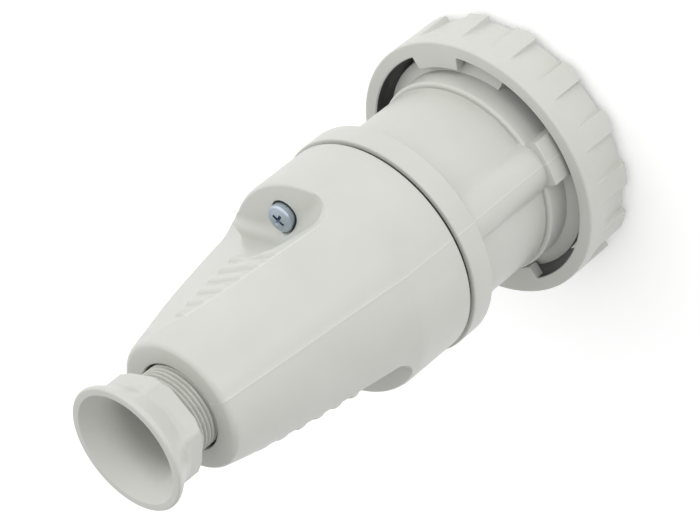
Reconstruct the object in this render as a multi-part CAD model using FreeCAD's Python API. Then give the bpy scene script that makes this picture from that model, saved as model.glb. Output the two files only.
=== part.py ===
import FreeCAD, Part
import math
import os

from FreeCAD import Rotation, Vector

# Watertight industrial cable plug: contact pins in a shroud, a bayonet coupling ring round the
# shroud, a conical cable hood and a screwed cable gland. Millimetres and degrees.
# The axis is Z. The plug stands on the rim of its shroud at height 0 and the cable leaves upwards.
# Azimuth 0 is +X. The key is at azimuth -90, the two housing screws are at 0 and 180.

# Driving sizes of the front housing
shroud_inner_r = 28.8
shroud_wall = 3.4
shroud_depth = 44.0
ledge_width = 5.3
ledge_thickness = 3.0
flange_front = 13.5
flange_step = 4.3
flange_edge = 3.2
flange_rise = 2.2
collar_step = 1.3
collar_length = 8.3
collar_round = 1.2
groove_width = 0.8
groove_depth = 0.5
barrel_step = 0.7
barrel_length = 33.1
band_step = 5.4
band_length = 8.4
band_floor = 2.4
housing_wall = 3.3
edge_round = 0.5

# Key rib, shroud key and the two stop blocks that limit the coupling ring
key_azimuth = -90.0
key_rib_r = 8.8
key_rib_rise = 4.6
shroud_key_width = 8.0
shroud_key_rise = 3.3
shroud_key_inset = 0.8
block_width = 14.8
block_step = 0.9
block_length = 13.5
notch_angle = 43.5

# Coupling ring
ring_gap = 1.6
ring_wall = 4.6
ring_length = 19.5
ring_round = 0.7
grip_count = 15
grip_azimuth = -53.0
grip_valley_angle = 14.0
grip_valley_depth = 2.2
grip_band = 5.5
lug_clearance = 2.2
lug_angle = 26.5
lug_thickness = 3.3
lug_gap = 0.5
lug_azimuth = -10.2
ramp_height = 2.2
ramp_thickness = 3.2
ramp_inset = 1.0
ramp_angle = 95.0
ramp_stop_angle = 9.0
ramp_stop_clearance = 1.9

# Contact carrier, pins and terminals
carrier_clearance = 0.2
carrier_gasket_thickness = 1.0
carrier_gasket_land = 5.6
carrier_gasket_rim = 1.4
carrier_thickness = 10.0
carrier_sleeve_wall = 1.4
carrier_sleeve_height = 5.0
pin_inset = 12.8
pin_r = 3.0
earth_pin_step = 1.0
pin_tip_inset = 7.0
pin_tip_chamfer = 1.2
pin_root_step = 0.4
pin_head_step = 1.6
pin_seat_depth = 3.0
terminal_length = 15.0
terminal_wall = 2.0
wire_hole_depth = 12.0
pin_fit = 0.03
terminal_screw_r = 2.0
terminal_screw_length = 3.6
terminal_screw_height = 5.0
pad_thickness = 0.8
carrier_screw_r = 1.5
carrier_screw_head_step = 1.1
carrier_screw_head = 2.0
carrier_screw_edge = 0.6
carrier_screw_reach = 2.2
hole_clearance = 0.15
thread_fit = 0.03

# Cable hood
hood_gasket_thickness = 1.0
hood_gasket_recess = 0.9
hood_step = 0.9
hood_cylinder = 22.0
hood_cone = 67.0
hood_lip = 6.6
hood_nose_round = 1.6
hood_wall = 3.2
spigot_wall = 1.7
spigot_length = 2.4
spigot_clearance = 0.2
shelf_height = 24.0
flat_cut = 12.0
flat_draft = 2.3
flat_fillet = 8.0
scoop_r = 30.0
scoop_tilt = 14.6
scoop_land = 1.5
scoop_fillet = 4.0
rib_count = 6
rib_first = 22.0
rib_pitch = 5.9
rib_r = 1.9
rib_height = 1.1
rib_end_first = 2.7
rib_end_step = 1.3

# Cable gland: nut, slip washer and seal
thread_r = 14.15
thread_pitch = 1.5
thread_clearance = 0.3
thread_engaged = 12.0
thread_shown = 7.4
gland_mouth_gap = 1.05
gland_mouth_depth = 6.0
sleeve_wall = 2.7
sleeve_ledge = 3.0
nut_wall = 2.15
seal_cable_r = 8.5
seal_length = 10.2
seal_chamfer = 1.6
seal_lip = 2.0
seal_free_turns = 3.0
washer_thickness = 1.5
washer_lip = 1.0
running_gap = 0.05
hexagon_azimuth = -41.0
hexagon_step = 1.7
hexagon_corner_cut = 0.25
hexagon_chamfer = 1.3
hexagon_length = 9.0
bell_throat_step = 0.45
bell_throat_height = 3.6
bell_waist_step = 3.05
bell_waist_height = 8.4
bell_rim_step = 6.75
bell_length = 15.5
bell_curve = 9.0
bell_lip = 2.5
bell_lip_round = 1.0
funnel_start = 1.5
funnel_curve = 14.0

# Housing screws, their seals and their inserts
screw_inset = 11.0
screw_r = 2.5
screw_head_step = 2.2
screw_head_height = 3.5
screw_head_round = 0.7
screw_slot_width = 1.2
screw_slot_depth = 1.4
screw_sunk = 0.4
screw_reach = 10.9
screw_seal_thickness = 1.0
counterbore_gap = 0.6
boss_wall = 1.7
boss_clearance = 0.3
boss_pad = 1.6
insert_wall = 1.5
insert_length = 11.0
insert_tip_room = 1.5

# Heights and radii that follow from the driving sizes
origin = Vector(0, 0, 0)
up = Vector(0, 0, 1)
shortest_edge = 1e-6
shroud_r = shroud_inner_r + shroud_wall
ledge_inner_r = shroud_inner_r - ledge_width
barrel_r = shroud_r + barrel_step
collar_r = barrel_r + collar_step
flange_r = collar_r + flange_step
block_r = flange_r + block_step
band_r = barrel_r + band_step
band_inner_r = band_r - housing_wall
carrier_bore_r = barrel_r - housing_wall
key_rib_top_r = barrel_r + key_rib_rise
shroud_key_r = shroud_r + shroud_key_rise
cone_foot = flange_front + flange_edge
collar_foot = cone_foot + flange_rise
collar_top = collar_foot + collar_length
band_front = collar_top + groove_width + barrel_length
band_rear = band_front + band_length
ledge_rear = shroud_depth + ledge_thickness
ring_inner_r = block_r + ring_gap
ring_outer_r = ring_inner_r + ring_wall
lug_inner_r = collar_r + lug_clearance
ramp_inner_r = ring_inner_r - ramp_height
lug_front = collar_foot - lug_clearance * flange_rise / flange_step + lug_gap
ring_rear = lug_front + lug_thickness
ring_front = ring_rear - ring_length
carrier_front = ledge_rear + carrier_gasket_thickness
carrier_rear = carrier_front + carrier_thickness
carrier_screw_head_r = carrier_screw_r + carrier_screw_head_step
carrier_screw_circle_r = carrier_bore_r - carrier_screw_head_r - carrier_screw_edge
wire_hole_r = pin_r + pin_head_step - terminal_wall
pin_circle_r = shroud_inner_r - pin_inset
pin_seat = carrier_rear - pin_seat_depth
pin_rear = pin_seat + terminal_length
terminal_screw_middle = pin_rear - terminal_screw_height
hood_r = band_r - hood_step
hood_base = band_rear + hood_gasket_thickness
hood_shoulder = hood_base + hood_cylinder
hood_end = hood_shoulder + hood_cone
hood_end_r = thread_r + gland_mouth_gap + hood_lip
shelf = hood_base + shelf_height
flat_distance = hood_r - flat_cut
flat_lean = math.tan(math.radians(flat_draft))
thread_bore_r = thread_r + thread_clearance
sleeve_r = thread_bore_r + sleeve_wall
cable_r = thread_r - nut_wall
seal_opening_r = seal_cable_r + seal_lip
nut_bottom = hood_end - thread_engaged
nut_shoulder = hood_end + thread_shown
washer_top = nut_bottom - running_gap
washer_bottom = washer_top - washer_thickness
seal_top = washer_bottom - seal_free_turns * thread_pitch - running_gap
seal_seat = seal_top - seal_length
hexagon_apothem = thread_r + hexagon_step
hexagon_end = nut_shoulder + hexagon_length
bell_throat_r = thread_r + bell_throat_step
bell_waist_r = thread_r + bell_waist_step
bell_rim_r = thread_r + bell_rim_step
bell_waist = nut_shoulder + bell_waist_height
bell_top = nut_shoulder + bell_length
screw_distance = hood_r - screw_inset
screw_head_r = screw_r + screw_head_step
insert_r = screw_r + insert_wall
screw_boss_r = insert_r + boss_wall
boss_hole_r = screw_boss_r + boss_clearance
screw_seat = shelf - screw_sunk
screw_top = screw_seat + screw_head_height
counterbore_floor = screw_seat - screw_seal_thickness
counterbore_r = screw_head_r + counterbore_gap
scoop_back = screw_distance - counterbore_r - scoop_land
pin_names = ["pin_earth", "pin_neutral", "pin_l1", "pin_l2", "pin_l3"]
pin_step = 360.0 / len(pin_names)
parts = {}


def outline(corners):
    """Closed wire in the XZ plane through (x, z, rounding) corners, with a tangent arc at each rounding."""
    stations = []
    for index, (x, z, rounding) in enumerate(corners):
        before = corners[index - 1]
        after = corners[(index + 1) % len(corners)]
        here = Vector(x, 0, z)
        back = (Vector(before[0], 0, before[1]) - here).normalize()
        ahead = (Vector(after[0], 0, after[1]) - here).normalize()
        if rounding == 0:
            stations.append((here, None, here))
            continue
        half = back.getAngle(ahead) / 2
        centre = here + (back + ahead).normalize() * (rounding / math.sin(half))
        middle = centre + (here - centre).normalize() * rounding
        reach = rounding / math.tan(half)
        stations.append((here + back * reach, middle, here + ahead * reach))
    edges = []
    for index, (start, middle, stop) in enumerate(stations):
        left = stations[index - 1][2]
        if left.distanceToPoint(start) > shortest_edge:
            edges.append(Part.makeLine(left, start))
        if middle is not None:
            edges.append(Part.Arc(start, middle, stop).toShape())
    return Part.Wire(edges)


def turned(corners, start=0.0, sweep=360.0):
    """Solid of revolution about Z from (radius, height, rounding) corners, from azimuth start over sweep."""
    face = Part.Face(outline(corners))
    face.rotate(origin, up, start)
    return face.revolve(origin, up, sweep)


def ring_block(inner, outer, low, high, start=0.0, sweep=360.0):
    """Ring, or a sector of one, with a rectangular section."""
    return turned([(inner, low, 0), (outer, low, 0), (outer, high, 0), (inner, high, 0)], start, sweep)


def post(x, y, radius, low, high):
    """Upright cylinder."""
    return Part.makeCylinder(radius, high - low, Vector(x, y, low), up)


def spun(shape, angle):
    """Copy turned about Z."""
    copy = shape.copy()
    copy.rotate(origin, up, angle)
    return copy


def both_sides(shape):
    """The shape and its copy on the opposite side of the axis."""
    return [shape, spun(shape, 180)]


def block_on_azimuth(width, inner, outer, low, high, azimuth):
    """Block with straight sides and a round outer face, standing out along an azimuth."""
    slab = Part.makeBox(outer, width, high - low, Vector(inner, -width / 2, low))
    return spun(slab.common(post(0, 0, outer, low, high)), azimuth)


def screw_places():
    return [(screw_distance, 0), (-screw_distance, 0)]


def pin_azimuth(index):
    return key_azimuth + index * pin_step


def pin_radius(name):
    return pin_r + earth_pin_step if name == "pin_earth" else pin_r


def carrier_screw_places():
    return [(0, carrier_screw_circle_r), (0, -carrier_screw_circle_r)]


def make_front_housing():
    """Shroud, flange, collar, barrel and band turned as one, with the key rib and stop blocks on it."""
    body = turned([
        (0, 0, 0), (shroud_r, 0, edge_round), (shroud_r, flange_front, 0),
        (flange_r, flange_front, edge_round), (flange_r, cone_foot, edge_round),
        (collar_r, collar_foot, 0), (collar_r, collar_top, collar_round),
        (barrel_r - groove_depth, collar_top, 0), (barrel_r - groove_depth, collar_top + groove_width, 0),
        (barrel_r, collar_top + groove_width, 0), (barrel_r, band_front, 0),
        (band_r, band_front, edge_round), (band_r, band_rear, edge_round), (0, band_rear, 0),
    ])
    for side in (key_azimuth, key_azimuth + 180):
        body = body.cut(ring_block(collar_r, 2 * flange_r, flange_front, collar_foot, side, notch_angle))
    rib_axis = spun(post(key_rib_top_r - key_rib_r, 0, key_rib_r, flange_front, band_front), key_azimuth)
    body = body.fuse(rib_axis.cut(post(0, 0, collar_r, flange_front, collar_foot)))
    for side in (key_azimuth, key_azimuth + 180):
        body = body.fuse(block_on_azimuth(block_width, shroud_inner_r, block_r, flange_front,
                                          flange_front + block_length, side))
    body = body.fuse(block_on_azimuth(shroud_key_width, shroud_inner_r, shroud_key_r, shroud_key_inset,
                                      flange_front, key_azimuth))
    body = body.cut(turned([
        (0, 0, 0), (shroud_inner_r, 0, 0), (shroud_inner_r, shroud_depth, 0),
        (ledge_inner_r, shroud_depth, 0), (ledge_inner_r, ledge_rear, 0), (carrier_bore_r, ledge_rear, 0),
        (carrier_bore_r, band_front + band_floor, 0), (band_inner_r, band_front + band_floor, 0),
        (band_inner_r, band_rear, 0), (0, band_rear, 0),
    ]))
    inside = post(0, 0, barrel_r - housing_wall / 2, shroud_depth, ledge_rear)
    for x, y in screw_places():
        body = body.fuse(post(x, y, boss_hole_r + boss_pad, shroud_depth, ledge_rear).common(inside))
        body = body.fuse(post(x, y, screw_boss_r, ledge_rear, band_rear))
        body = body.cut(post(x, y, insert_r + thread_fit, band_rear - insert_length, band_rear))
        body = body.cut(post(x, y, screw_r + hole_clearance,
                             band_rear - insert_length - insert_tip_room, band_rear))
    for x, y in carrier_screw_places():
        body = body.cut(post(x, y, carrier_screw_r + thread_fit, shroud_depth, ledge_rear))
    return body.removeSplitter()


def make_coupling_ring():
    """Hoop with grip valleys outside, two retaining lugs at the rear and two bayonet ramps inside."""
    ring = turned([
        (ring_inner_r, ring_front, 0), (ring_outer_r, ring_front, ring_round),
        (ring_outer_r, ring_rear, ring_round), (ring_inner_r, ring_rear, 0),
    ])
    pitch = 360.0 / grip_count
    for index in range(grip_count):
        middle = grip_azimuth + index * pitch
        ring = ring.cut(ring_block(ring_outer_r - grip_valley_depth, 2 * ring_outer_r, ring_front,
                                   ring_rear - grip_band, middle - grip_valley_angle / 2, grip_valley_angle))
    wall_middle = (ring_inner_r + ring_outer_r - grip_valley_depth) / 2
    lug = ring_block(lug_inner_r, wall_middle, lug_front, ring_rear, lug_azimuth - lug_angle / 2, lug_angle)
    ramp_low = ring_front + ramp_inset
    ramp = ring_block(ramp_inner_r, wall_middle, ramp_low, ramp_low + ramp_thickness,
                      lug_azimuth + 90 - ramp_angle / 2, ramp_angle)
    stop = ring_block(ramp_inner_r, wall_middle, ramp_low, flange_front - ramp_stop_clearance,
                      lug_azimuth + 90 + ramp_angle / 2 - ramp_stop_angle, ramp_stop_angle)
    for piece in (lug, ramp, stop):
        for copy in both_sides(piece):
            ring = ring.fuse(copy)
    return ring.removeSplitter()


def make_pin(name, azimuth):
    """Turned brass pin: chamfered tip, shaft, rooted in the carrier, with a bored terminal head behind."""
    radius = pin_radius(name)
    root = radius + pin_root_step
    head = radius + pin_head_step
    pin = turned([
        (0, pin_tip_inset, 0), (radius - pin_tip_chamfer, pin_tip_inset, 0),
        (radius, pin_tip_inset + pin_tip_chamfer, 0), (radius, carrier_front, 0),
        (root, carrier_front, 0), (root, pin_seat, 0), (head, pin_seat, 0),
        (head, pin_rear, edge_round), (0, pin_rear, 0),
    ])
    pin = pin.cut(post(0, 0, wire_hole_r, pin_rear - wire_hole_depth, pin_rear))
    pin = pin.cut(Part.makeCylinder(terminal_screw_r + thread_fit, 2 * head,
                                    Vector(0, 0, terminal_screw_middle), Vector(1, 0, 0)))
    pin.translate(Vector(pin_circle_r, 0, 0))
    return spun(pin, azimuth)


def make_terminal_screw(azimuth):
    """Headless screw, set from outside into a pin's terminal head."""
    start = Vector(pin_circle_r + wire_hole_r - pad_thickness, 0, terminal_screw_middle)
    return spun(Part.makeCylinder(terminal_screw_r, terminal_screw_length, start, Vector(1, 0, 0)), azimuth)


def make_pressure_pad(azimuth):
    """Round pad under a terminal screw that presses the wire."""
    start = Vector(pin_circle_r + wire_hole_r - 2 * pad_thickness, 0, terminal_screw_middle)
    pad = Part.makeCylinder(terminal_screw_r - hole_clearance, pad_thickness, start, Vector(1, 0, 0))
    return spun(pad, azimuth)


def make_contact_carrier():
    """Insulating disc with a sleeve round each terminal, notched round the two screw bosses."""
    carrier = post(0, 0, carrier_bore_r - carrier_clearance, carrier_front, carrier_rear)
    for index, name in enumerate(pin_names):
        sleeve = post(pin_circle_r, 0, pin_radius(name) + pin_head_step + carrier_sleeve_wall,
                      carrier_rear, carrier_rear + carrier_sleeve_height)
        carrier = carrier.fuse(spun(sleeve, pin_azimuth(index)))
    for index, name in enumerate(pin_names):
        root = post(pin_circle_r, 0, pin_radius(name) + pin_root_step + pin_fit, carrier_front, carrier_rear)
        seat = post(pin_circle_r, 0, pin_radius(name) + pin_head_step + pin_fit, pin_seat,
                    carrier_rear + carrier_sleeve_height)
        carrier = carrier.cut(spun(root.fuse(seat), pin_azimuth(index)))
    for x, y in screw_places():
        carrier = carrier.cut(post(x, y, boss_hole_r, carrier_front, carrier_rear + carrier_sleeve_height))
    for x, y in carrier_screw_places():
        carrier = carrier.cut(post(x, y, carrier_screw_r + hole_clearance, carrier_front, carrier_rear))
        carrier = carrier.cut(post(x, y, carrier_screw_head_r + hole_clearance, carrier_rear,
                                   carrier_rear + carrier_sleeve_height))
    return carrier.removeSplitter()


def make_carrier_gasket():
    """Flat rubber ring between the ledge and the carrier, led round the inner side of the screw bosses."""
    outer = carrier_bore_r - carrier_clearance
    disc = post(0, 0, outer, ledge_rear, carrier_front)
    gasket = ring_block(outer - carrier_gasket_land, outer, ledge_rear, carrier_front)
    for x, y in screw_places():
        loop = post(x, y, boss_hole_r + carrier_gasket_rim, ledge_rear, carrier_front)
        gasket = gasket.fuse(loop.common(disc))
        gasket = gasket.cut(post(x, y, boss_hole_r, ledge_rear, carrier_front))
    for x, y in carrier_screw_places():
        gasket = gasket.cut(post(x, y, carrier_screw_r + hole_clearance, ledge_rear, carrier_front))
    return gasket.removeSplitter()


def make_carrier_screw(x, y):
    """Small pan-head screw that holds the carrier on the ledge."""
    low = ledge_rear - carrier_screw_reach
    screw = turned([
        (0, low, 0), (carrier_screw_r, low, 0), (carrier_screw_r, carrier_rear, 0),
        (carrier_screw_head_r, carrier_rear, 0),
        (carrier_screw_head_r, carrier_rear + carrier_screw_head, edge_round),
        (0, carrier_rear + carrier_screw_head, 0),
    ])
    screw.translate(Vector(x, y, 0))
    return screw


def make_hood_gasket():
    """Flat rubber ring between the band of the housing and the hood."""
    inner = band_inner_r + spigot_clearance
    return ring_block(inner, hood_r - hood_gasket_recess, band_rear, hood_base)


def make_pocket(grow):
    """What the hood lacks on its +X side: a drafted flat above the screw shelf and a scoop behind the screw.

    grow enlarges it on all sides, to keep the hood's wall behind it.
    """
    far = 2 * hood_r
    floor = shelf - grow
    top = hood_end + grow
    foot = flat_distance - grow + grow * flat_lean
    head = foot - (top - floor) * flat_lean
    corners = [(foot, floor, flat_fillet + grow), (far, floor, 0), (far, top, 0), (head, top, 0)]
    face = Part.Face(outline(corners))
    face.translate(Vector(0, -far, 0))
    flat = face.extrude(Vector(0, 2 * far, 0))
    tilt = math.radians(scoop_tilt)
    axis = Vector(math.sin(tilt), 0, math.cos(tilt))
    centre = Vector(scoop_back + scoop_r, 0, shelf)
    above = Part.makeBox(2 * far, 2 * far, 2 * far, Vector(0, -far, floor))
    scoop = Part.makeCylinder(scoop_r + grow, 2 * far, centre - axis * far, axis).common(above)
    foot_edges = [edge for edge in scoop.Edges if edge.BoundBox.ZMax < floor + edge_round]
    return flat.fuse(scoop.makeFillet(scoop_fillet + grow, foot_edges))


def make_hood_form(inset):
    """Turned outer form of the hood, or the form of its hollow when set in by the wall."""
    slope = math.atan2(hood_r - hood_end_r, hood_cone)
    shoulder = hood_shoulder - inset * math.tan(slope / 2)
    end = hood_end - inset
    end_r = hood_r - inset - (end - shoulder) * math.tan(slope)
    base_round = edge_round if inset == 0 else 0
    return turned([
        (0, hood_base, 0), (hood_r - inset, hood_base, base_round), (hood_r - inset, shoulder, 0),
        (end_r, end, hood_nose_round), (0, end, 0),
    ])


def make_grip_ribs():
    """Raised ribs across the key side of the +X flat, with round inner ends that stand in a slanting row."""
    ribs = []
    for index in range(rib_count):
        rise = rib_first + index * rib_pitch
        centre = Vector(flat_distance - rise * flat_lean + rib_height - rib_r,
                        rib_end_first - index * rib_end_step, shelf + rise)
        bar = Part.makeCylinder(rib_r, hood_r, centre, Vector(0, -1, 0))
        ribs.append(bar.fuse(Part.makeSphere(rib_r, centre)))
    return ribs


def make_hood():
    """Hollow conical hood with two ribbed flats, two screw shelves and a threaded sleeve for the gland."""
    mirror_plane = Vector(1, 0, 0)
    pocket = make_pocket(0)
    grown = make_pocket(hood_wall)
    form = make_hood_form(0)
    hood = form
    hollow = make_hood_form(hood_wall)
    for tool in (pocket, pocket.mirror(origin, mirror_plane)):
        hood = hood.cut(tool)
    for tool in (grown, grown.mirror(origin, mirror_plane)):
        hollow = hollow.cut(tool)
    for rib in make_grip_ribs():
        inside = rib.common(form)
        hood = hood.fuse(inside)
        hood = hood.fuse(inside.mirror(origin, mirror_plane))
    hood = hood.cut(hollow)
    sleeve = ring_block(seal_opening_r, sleeve_r, seal_seat - sleeve_ledge, hood_end - hood_wall / 2)
    hood = hood.fuse(sleeve)
    for x, y in screw_places():
        tube = post(x, y, screw_boss_r, hood_base, shelf)
        web = Part.makeBox(abs(x), screw_boss_r, shelf - hood_base, Vector(0, -screw_boss_r / 2, hood_base))
        web.translate(Vector(x if x > 0 else 2 * x, 0, 0))
        hood = hood.fuse(tube.fuse(web.common(post(0, 0, hood_r - hood_wall / 2, hood_base, shelf))))
    spigot_r = band_inner_r - spigot_clearance
    spigot = ring_block(spigot_r - spigot_wall, spigot_r, hood_base - spigot_length, hood_base + hood_wall)
    hood = hood.fuse(spigot)
    for x, y in screw_places():
        hood = hood.cut(post(x, y, screw_r + hole_clearance, hood_base, shelf))
        hood = hood.cut(post(x, y, counterbore_r, counterbore_floor, screw_top))
    hood = hood.cut(post(0, 0, thread_bore_r, seal_seat, hood_end))
    hood = hood.cut(post(0, 0, thread_r + gland_mouth_gap, hood_end - gland_mouth_depth, hood_end))
    return hood.removeSplitter()


def make_housing_screw(x, y):
    """Slotted cheese-head screw that pulls the hood onto the housing."""
    low = band_rear - screw_reach
    screw = turned([
        (0, low, 0), (screw_r, low, edge_round), (screw_r, screw_seat, 0), (screw_head_r, screw_seat, 0),
        (screw_head_r, screw_top, screw_head_round), (0, screw_top, 0),
    ])
    slot = Part.makeBox(4 * screw_head_r, screw_slot_width, screw_slot_depth,
                        Vector(-2 * screw_head_r, -screw_slot_width / 2, screw_top - screw_slot_depth))
    screw = screw.cut(slot)
    screw.translate(Vector(x, y, 0))
    return screw


def make_screw_seal(x, y):
    """Rubber sealing washer under a housing screw's head."""
    seal = ring_block(screw_r + hole_clearance, counterbore_r - hole_clearance, counterbore_floor, screw_seat)
    seal.translate(Vector(x, y, 0))
    return seal


def make_housing_insert(x, y):
    """Threaded brass insert in the housing's screw boss."""
    insert = ring_block(screw_r + thread_fit, insert_r, band_rear - insert_length, band_rear)
    insert.translate(Vector(x, y, 0))
    return insert


def make_gland_nut():
    """Nut with a male thread below, a chamfered hexagon and a bell mouth above, in one moulding."""
    corner_r = hexagon_apothem / math.cos(math.radians(30))
    turning_r = corner_r - hexagon_corner_cut
    ring = [Rotation(up, 60 * index).multVec(Vector(corner_r, 0, nut_shoulder)) for index in range(6)]
    prism = Part.Face(Part.makePolygon(ring + ring[:1])).extrude(Vector(0, 0, hexagon_length))
    prism.rotate(origin, up, hexagon_azimuth)
    chamfered = turned([
        (0, nut_shoulder, 0), (turning_r - hexagon_chamfer, nut_shoulder, 0),
        (turning_r, nut_shoulder + hexagon_chamfer, 0), (turning_r, hexagon_end, 0), (0, hexagon_end, 0),
    ])
    bell = turned([
        (0, nut_shoulder, 0), (bell_throat_r, nut_shoulder, 0),
        (bell_throat_r, nut_shoulder + bell_throat_height, bell_curve / 2),
        (bell_waist_r, bell_waist, bell_curve),
        (bell_rim_r, bell_top - bell_lip, bell_lip_round), (bell_rim_r, bell_top, bell_lip_round),
        (0, bell_top, 0),
    ])
    nut = bell.fuse(prism.common(chamfered))
    nut = nut.fuse(post(0, 0, thread_r, nut_bottom, nut_shoulder))
    nut = nut.cut(post(0, 0, cable_r, nut_bottom, bell_top))
    nut = nut.cut(turned([
        (0, nut_shoulder + funnel_start, 0), (cable_r, nut_shoulder + funnel_start, 0),
        (cable_r, bell_waist, funnel_curve), (bell_rim_r - bell_lip, bell_top, 0), (0, bell_top, 0),
    ]))
    return nut.removeSplitter()


def make_slip_washer():
    """Plain washer that lets the nut turn on the seal, with a hole narrower than the nut's bore."""
    return ring_block(cable_r - washer_lip, thread_r - hole_clearance, washer_bottom, washer_top)


def make_cable_seal():
    """Rubber seal with chamfered ends, seated in the sleeve."""
    outer = thread_bore_r - hole_clearance
    return turned([
        (seal_cable_r, seal_seat, seal_chamfer), (outer, seal_seat, seal_chamfer / 2),
        (outer, seal_top, seal_chamfer / 2), (seal_cable_r, seal_top, seal_chamfer),
    ])


parts["front_housing"] = make_front_housing()
parts["coupling_ring"] = make_coupling_ring()
parts["contact_carrier"] = make_contact_carrier()
parts["carrier_gasket"] = make_carrier_gasket()
parts["carrier_screws"] = Part.makeCompound([make_carrier_screw(x, y) for x, y in carrier_screw_places()])
for number, pin_name in enumerate(pin_names):
    parts[pin_name] = make_pin(pin_name, pin_azimuth(number))
parts["terminal_screws"] = Part.makeCompound(
    [make_terminal_screw(pin_azimuth(number)) for number in range(len(pin_names))])
parts["pressure_pads"] = Part.makeCompound(
    [make_pressure_pad(pin_azimuth(number)) for number in range(len(pin_names))])
parts["housing_inserts"] = Part.makeCompound([make_housing_insert(x, y) for x, y in screw_places()])
parts["hood_gasket"] = make_hood_gasket()
parts["hood"] = make_hood()
parts["screw_seals"] = Part.makeCompound([make_screw_seal(x, y) for x, y in screw_places()])
parts["housing_screws"] = Part.makeCompound([make_housing_screw(x, y) for x, y in screw_places()])
parts["cable_seal"] = make_cable_seal()
parts["slip_washer"] = make_slip_washer()
parts["gland_nut"] = make_gland_nut()

os.makedirs("parts", exist_ok=True)
for node, shape in parts.items():
    shape.exportStep("parts/" + node + ".step")
    print(node, "valid" if shape.isValid() else "INVALID", len(shape.Solids), round(shape.Volume, 1))
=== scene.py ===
import bmesh
import bpy
import numpy as np
from mathutils import Matrix, Vector


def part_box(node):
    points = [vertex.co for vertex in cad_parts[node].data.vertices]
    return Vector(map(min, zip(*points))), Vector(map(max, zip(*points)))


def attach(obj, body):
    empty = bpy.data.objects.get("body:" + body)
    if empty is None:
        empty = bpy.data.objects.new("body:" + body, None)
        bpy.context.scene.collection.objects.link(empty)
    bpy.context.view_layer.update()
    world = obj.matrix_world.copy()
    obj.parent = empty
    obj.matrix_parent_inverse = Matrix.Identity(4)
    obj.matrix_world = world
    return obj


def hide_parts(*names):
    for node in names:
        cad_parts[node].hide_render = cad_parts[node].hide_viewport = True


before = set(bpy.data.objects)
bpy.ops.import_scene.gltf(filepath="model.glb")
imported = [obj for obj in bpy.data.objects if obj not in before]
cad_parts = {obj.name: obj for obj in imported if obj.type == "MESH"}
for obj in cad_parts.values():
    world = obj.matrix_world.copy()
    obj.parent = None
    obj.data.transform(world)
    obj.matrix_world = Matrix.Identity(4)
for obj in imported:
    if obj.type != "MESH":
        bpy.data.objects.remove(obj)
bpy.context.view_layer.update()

# Front housing: one moulding of light grey polyamide. The shroud round the pins, the flange and collar that
# hold the coupling ring, the barrel and the band are turned about the plug's axis. The key rib and two stop
# blocks stand on them, with the mould's parting line along their crests.
MM = 0.001
flange_r, block_r, band_rear = np.array(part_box("front_housing")[1]) / MM
shroud_inner_r = 28.8
shroud_r = 32.2
collar_r = 34.2
groove_r = 32.4
barrel_r = 32.9
band_r = 38.3
flange_front = 13.5
cone_foot = 16.7
collar_foot = 18.9
block_top = 27.0
collar_top = 27.2
barrel_foot = 28.0
band_front = 61.1
edge_round = 0.5
flange_edge = 0.3
collar_round = 1.2
barrel_foot_round = 0.2
band_fillet = 0.6
key_azimuth = -90.0
key_rib_r = 8.8
key_rib_axis_r = 28.7
key_rib_fillet = 0.9
block_half_width = 7.4
block_foot_round = 0.3
block_edge = 0.5
shroud_key_r = 35.5
shroud_key_half_width = 4.0
shroud_key_foot = 0.8
notch_angle = 43.5
notch_step = 0.5
parting_height = 0.09
parting_width = 0.16
band_inner_r = 35.0
band_floor = 63.5
carrier_bore_r = 29.6
ledge_inner_r = 23.5
ledge_rear = 47.0
ledge_pad_r = 7.6
ledge_pad_blend = 0.4
shroud_depth = 44.0
screw_distance = 26.4
screw_boss_r = 5.7
insert_hole_r = 4.03
insert_foot = 58.5
screw_hole_r = 2.65
screw_hole_foot = 57.0
light_grey = "C5C6C0"
shade_grey = "C0C1BA"
# A lighter grey painted as a highlight along the parting line and the flats' edges, where the thin ridge and
# edges catch the light.
painted_highlight_grey = "CECFC9"
skin_roughness = 0.36
grey_skin = (light_grey, shade_grey, skin_roughness)
skin_grain = 0.7
cloud_size = 24.0
line_core = 0.06
line_edge = 0.24
sharp_angle = 34.0
rounding_rows = 6
housing_step = 2.5
post_step = 7.5


def linear(code):
    """Linear colour of an sRGB hex code: a channel over 0.04045 is lifted by 0.055, scaled and raised to
    2.4, and a lower one is divided by 12.92."""
    channels = np.array([int(code[place:place + 2], 16) for place in (0, 2, 4)]) / 255
    lifted = ((channels + 0.055) / 1.055) ** 2.4
    return (*np.where(channels > 0.04045, lifted, channels / 12.92), 1.0)


def add_node(material, kind, settings, links):
    """Adds one shader node with its properties or socket values, and links other nodes' outputs to it."""
    node = material.node_tree.nodes.new(kind)
    for name, value in settings.items():
        if isinstance(name, int) or name in node.inputs:
            node.inputs[name].default_value = value
        else:
            setattr(node, name, value)
    for name, source in links.items():
        material.node_tree.links.new(source, node.inputs[name])
    return node


def maths(material, operation, *values):
    """Result of a math node. Numbers are set on its sockets, and other nodes' outputs are linked to them."""
    numbers = {place: value for place, value in enumerate(values) if isinstance(value, float)}
    sources = {place: value for place, value in enumerate(values) if place not in numbers}
    return add_node(material, "ShaderNodeMath", {"operation": operation, **numbers}, sources).outputs["Value"]


def new_material(name):
    """Empty node material, and the place on the object that its patterns go by."""
    material = bpy.data.materials.new(name)
    material.use_nodes = True
    material.node_tree.nodes.clear()
    return material, add_node(material, "ShaderNodeTexCoord", {}, {}).outputs["Object"]


def noise(material, place, size_mm, detail):
    """Value from 0 to 1 of a cloudy pattern whose lumps have about the given size."""
    settings = {"Scale": 1 / (size_mm * MM), "Detail": detail}
    return add_node(material, "ShaderNodeTexNoise", settings, {"Vector": place}).outputs["Fac"]


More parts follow.
